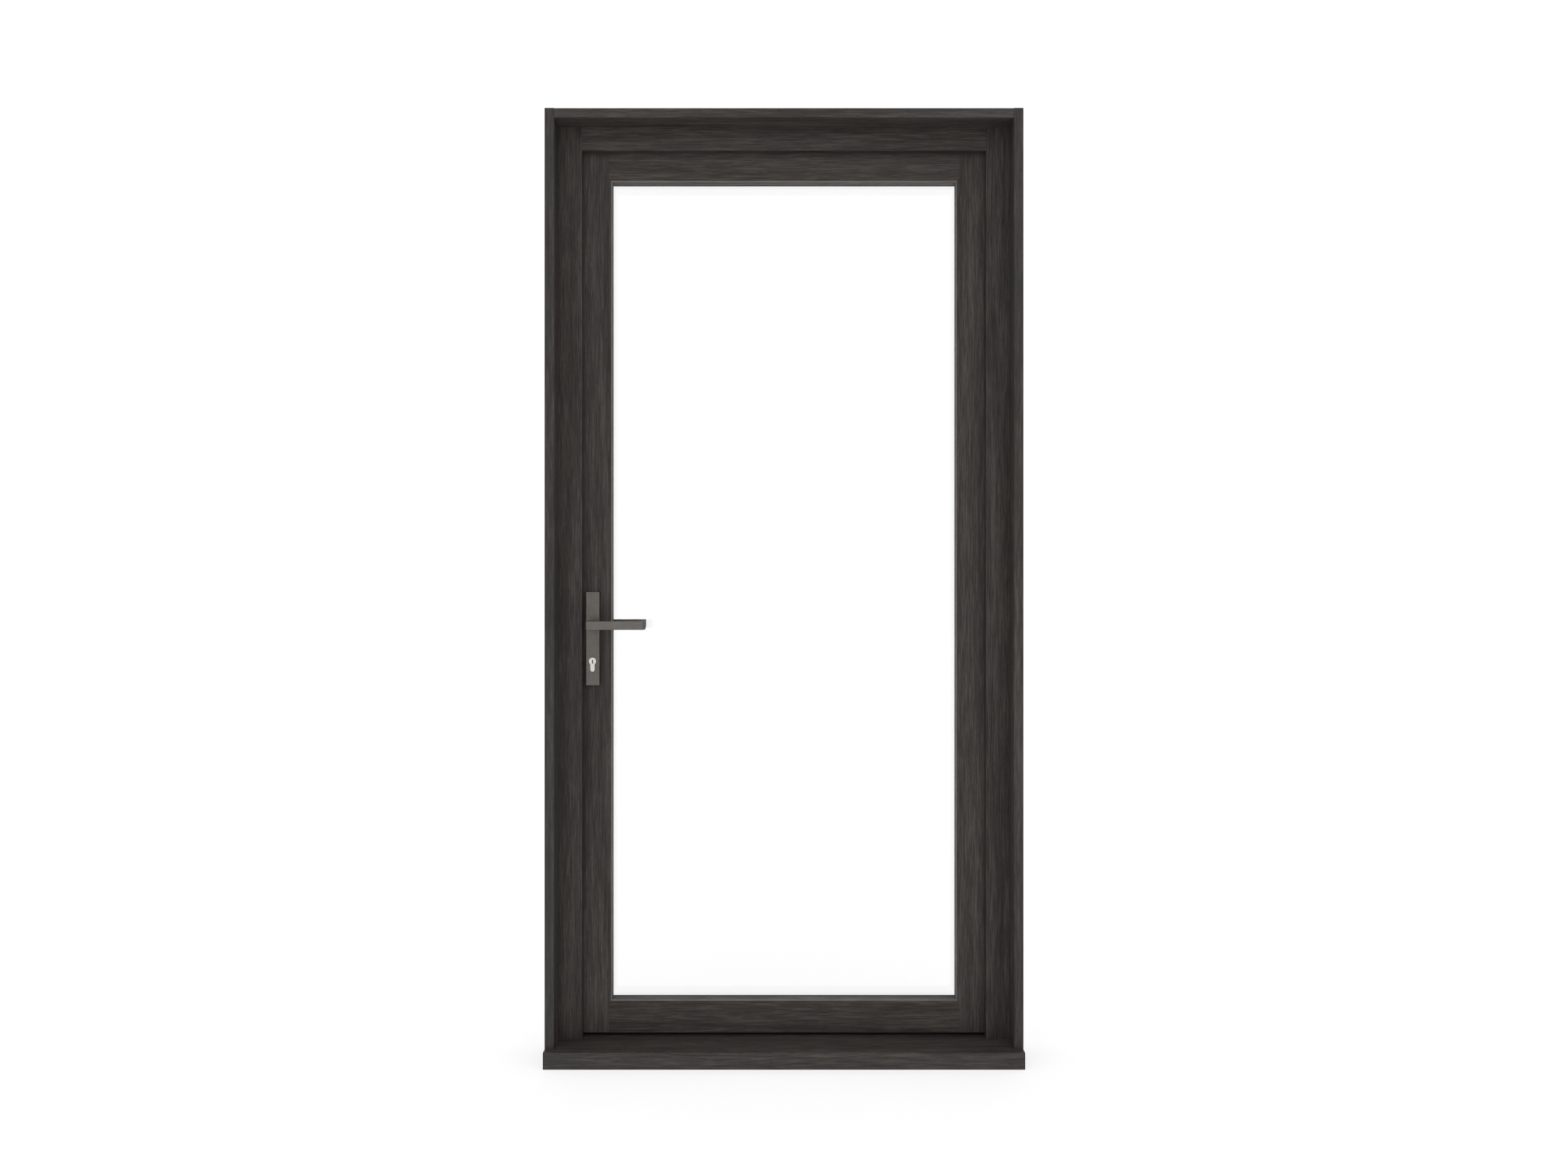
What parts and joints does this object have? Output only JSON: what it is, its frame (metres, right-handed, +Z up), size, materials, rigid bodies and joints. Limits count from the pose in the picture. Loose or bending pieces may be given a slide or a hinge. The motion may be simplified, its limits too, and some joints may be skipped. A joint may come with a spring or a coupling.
{
  "type": "glazed timber casement door",
  "caption": "Full-height timber casement with one clear light, deep lining, projecting sill, lever handles, edge locking gear and barrel hinges; the leaf opens inward.",
  "frame": {"origin": "underside of the sill, midway along its width, in the plane of the lining's outer edges", "axes": "+X to the right seen from outside, +Y from outside to inside, +Z up"},
  "size_m": [1.1, 0.238, 2.2],
  "materials": {
    "dark_timber": "satin stain over open grain",
    "clear_glass": "clear float glass",
    "black_rubber": "matt extruded rubber",
    "black_plastic": "matt",
    "anodised_aluminium": "dark anodised",
    "satin_nickel": "brushed, dark",
    "nickel_brass": "satin nickel plate",
    "zinc_steel": "bright zinc plate"
  },
  "bodies": {
    "frame": {"sill": "dark_timber", "lining_left": "dark_timber", "lining_right": "dark_timber", "lining_head": "dark_timber", "jamb_lock": "dark_timber", "jamb_hinge": "dark_timber", "frame_head": "dark_timber", "stop_gasket": "black_rubber", "threshold_bar": "anodised_aluminium", "lock_keeps": "zinc_steel", "deadbolt_strike": "zinc_steel", "keep_screws": "zinc_steel", "hinge_washers": "black_plastic", "hinge_lower_frame_knuckle": "satin_nickel", "hinge_middle_frame_knuckle": "satin_nickel", "hinge_upper_frame_knuckle": "satin_nickel", "hinge_lower_pin": "zinc_steel", "hinge_middle_pin": "zinc_steel", "hinge_upper_pin": "zinc_steel"},
    "leaf": {"backplate_inner": "satin_nickel", "backplate_outer": "satin_nickel", "bottom_seal": "black_rubber", "cylinder_body": "nickel_brass", "cylinder_screw": "zinc_steel", "faceplate": "zinc_steel", "faceplate_screws": "zinc_steel", "gear_case": "zinc_steel", "glass_edge_seal": "black_rubber", "glass_inner": "clear_glass", "glass_outer": "clear_glass", "glass_spacer": "black_plastic", "glazing_bead_bottom": "dark_timber", "glazing_bead_left": "dark_timber", "glazing_bead_right": "dark_timber", "glazing_bead_top": "dark_timber", "glazing_gasket_inner": "black_rubber", "glazing_gasket_outer": "black_rubber", "hinge_caps": "satin_nickel", "hinge_lower_leaf_knuckle": "satin_nickel", "hinge_middle_leaf_knuckle": "satin_nickel", "hinge_upper_leaf_knuckle": "satin_nickel", "overlap_gasket": "black_rubber", "plate_bolts": "zinc_steel", "rail_bottom": "dark_timber", "rail_top": "dark_timber", "setting_blocks": "black_plastic", "stile_hinge": "dark_timber", "stile_lock": "dark_timber"},
    "handle": {"lever_outer": "satin_nickel", "lever_inner": "satin_nickel", "spindle": "zinc_steel", "drive_pinion": "zinc_steel"},
    "drive_rail": {"drive_rail": "zinc_steel", "locking_cams": "zinc_steel"},
    "cylinder_core": {"cylinder_plug_outer": "nickel_brass", "cylinder_plug_inner": "nickel_brass", "cylinder_cam": "nickel_brass"},
    "deadbolt": {"deadbolt": "zinc_steel"}
  },
  "joints": [
    {"name": "leaf_swing", "type": "hinge", "parent": "frame", "child": "leaf", "pos_m": [0.506, 0.15, 1.09], "axis": [0, 0, -1], "range_deg": [0, 95]},
    {"name": "handle_turn", "type": "hinge", "parent": "leaf", "child": "handle", "pos_m": [-0.4497, 0.119, 1.011], "axis": [0, 1, 0], "range_deg": [0, 90]},
    {"name": "drive_rail_slide", "type": "slide", "parent": "leaf", "child": "drive_rail", "axis": [0, 0, 1], "range_m": [0, 0.01768]},
    {"name": "key_turn", "type": "hinge", "parent": "leaf", "child": "cylinder_core", "pos_m": [-0.4497, 0.119, 0.926], "axis": [0, -1, 0], "range_deg": [0, 120]},
    {"name": "deadbolt_slide", "type": "slide", "parent": "leaf", "child": "deadbolt", "axis": [-1, 0, 0], "range_m": [0, 0.0141]}
  ],
  "couplings": [
    {"joint": "drive_rail_slide", "follows": "handle_turn", "m_per_rad": 0.01125},
    {"joint": "key_turn", "follows": "deadbolt_slide", "rad_per_m": 148.15}
  ]
}
